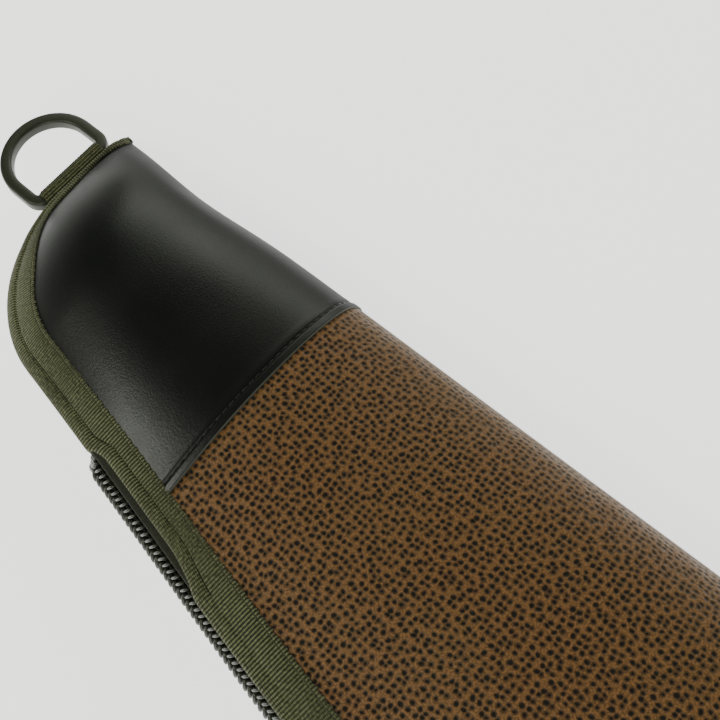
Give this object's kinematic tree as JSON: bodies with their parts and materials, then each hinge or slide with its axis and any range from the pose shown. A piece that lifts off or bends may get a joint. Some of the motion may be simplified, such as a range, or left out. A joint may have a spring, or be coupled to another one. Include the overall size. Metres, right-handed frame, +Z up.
{
  "type": "rod case",
  "caption": "Padded, tapered, zipped case for fishing rods, with black end caps, a pebbled brown body, bound edges, a tip ring and twin carry handles.",
  "frame": {"origin": "middle of the whole case's footprint, on the plane that the rear face lies on", "axes": "+X from the tip to the butt along the fold, +Y towards the folded edge, +Z up out of the front face"},
  "size_m": [1.2392, 0.2736, 0.0622],
  "materials": {
    "black_leather": "smooth satin faux leather",
    "brown_leather": "pebbled faux leather with dark pits",
    "padding_foam": "closed-cell foam",
    "lining_plush": "short plush pile",
    "olive_binding": "ribbed grosgrain binding",
    "olive_webbing": "woven webbing",
    "ring_plastic": "moulded, dull",
    "zip_tape": "fine woven tape",
    "zip_teeth": "nylon coil",
    "zip_metal": "dark antique coating"
  },
  "bodies": {
    "root": {"tip_cap": "black_leather", "tip_padding": "padding_foam", "tip_lining": "lining_plush", "tip_binding": "olive_binding", "ring_tab": "olive_webbing", "rear_panel": "brown_leather", "rear_butt_cap": "black_leather", "rear_padding": "padding_foam", "rear_lining": "lining_plush", "rear_binding": "olive_binding", "rear_zip_tape": "zip_tape", "rear_zip_coil": "zip_teeth", "zip_tip_tape": "zip_tape", "zip_tip_coil": "zip_teeth", "zip_tip_stop": "zip_metal", "zip_butt_stop": "zip_metal", "rear_handle_ribbons": "olive_webbing"},
    "cover": {"front_panel": "brown_leather", "front_butt_cap": "black_leather", "front_padding": "padding_foam", "front_lining": "lining_plush", "front_binding": "olive_binding", "front_zip_tape": "zip_tape", "front_zip_coil": "zip_teeth", "front_handle_ribbons": "olive_webbing"},
    "tip_ring": {"tip_ring": "ring_plastic"},
    "slider_a": {"slider_a": "zip_metal"},
    "pull_a": {"pull_a": "zip_metal"},
    "slider_b": {"slider_b": "zip_metal"},
    "pull_b": {"pull_b": "zip_metal"},
    "front_handle": {"front_handle_webbing": "olive_webbing", "front_handle_grip": "black_leather"},
    "rear_handle": {"rear_handle_webbing": "olive_webbing", "rear_handle_grip": "black_leather"}
  },
  "joints": [
    {"name": "cover_open", "type": "hinge", "parent": "root", "child": "cover", "pos_m": [0.0671, 0.13678, 0.026], "axis": [-1, 0, 0], "range_deg": [0, 90]},
    {"name": "tip_ring_swing", "type": "hinge", "parent": "root", "child": "tip_ring", "pos_m": [-0.5875, 0.11178, 0.026], "axis": [0, 1, 0], "range_deg": [-90, 90]},
    {"name": "slider_a_run", "type": "slide", "parent": "root", "child": "slider_a", "axis": [-0.9903, 0.1392, 0], "range_m": [0, 0.91]},
    {"name": "pull_a_swing", "type": "hinge", "parent": "slider_a", "child": "pull_a", "pos_m": [0.41618, -0.0963, 0.026], "axis": [0, 0, 1], "range_deg": [0, 95]},
    {"name": "slider_b_run", "type": "slide", "parent": "root", "child": "slider_b", "axis": [0.9903, -0.1392, 0], "range_m": [0, 0.086]},
    {"name": "pull_b_swing", "type": "hinge", "parent": "slider_b", "child": "pull_b", "pos_m": [0.43818, -0.09939, 0.026], "axis": [0, 0, -1], "range_deg": [0, 95]},
    {"name": "front_handle_swing", "type": "hinge", "parent": "cover", "child": "front_handle", "pos_m": [0.07677, -0.04436, 0.0363], "axis": [-0.9903, 0.1392, 0], "range_deg": [0, 110]},
    {"name": "rear_handle_swing", "type": "hinge", "parent": "root", "child": "rear_handle", "pos_m": [0.07677, -0.04436, 0.0157], "axis": [0.9903, -0.1392, 0], "range_deg": [0, 110]}
  ]
}
